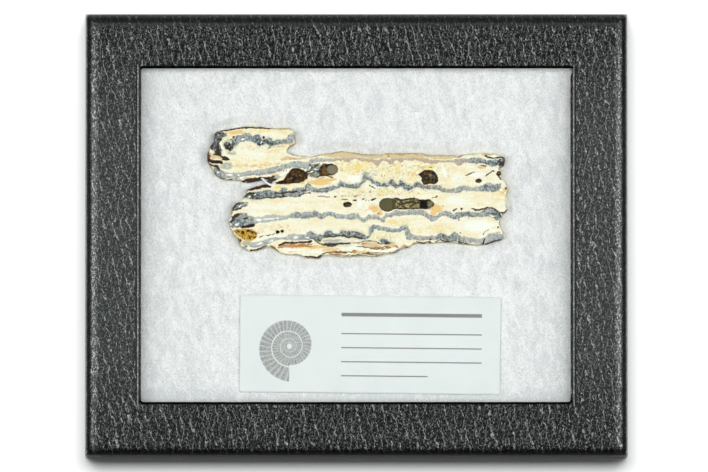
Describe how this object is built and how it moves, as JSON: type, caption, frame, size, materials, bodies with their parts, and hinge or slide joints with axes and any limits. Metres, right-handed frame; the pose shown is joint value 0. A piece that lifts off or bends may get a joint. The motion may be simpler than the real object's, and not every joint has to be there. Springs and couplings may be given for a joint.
{
  "type": "cased fossil tooth slice",
  "caption": "Sawn and polished fossil mammoth tooth slice on white fibre batting, under glass in a shallow black display case with a blank label.",
  "frame": {"origin": "middle of the tray's flat underside, which is the middle of the case's footprint", "axes": "+X along the case's long side, +Y up the label as it is read, +Z out of the window; the case lies flat on its back"},
  "size_m": [0.1334, 0.109, 0.0202],
  "materials": {
    "case_board": "card wrapped in black embossed leatherette paper",
    "pane_glass": "clear flat glass",
    "batting_fibre": "white polyester fibre pad",
    "fossil_tooth": "polished cream dentine with blue-grey enamel bands and a rough ochre rim",
    "label_paper": "matt white card"
  },
  "bodies": {
    "root": {"tray": "case_board", "lid": "case_board", "glass_pane": "pane_glass", "batting": "batting_fibre", "tooth_slice": "fossil_tooth", "label_card": "label_paper"}
  },
  "joints": []
}
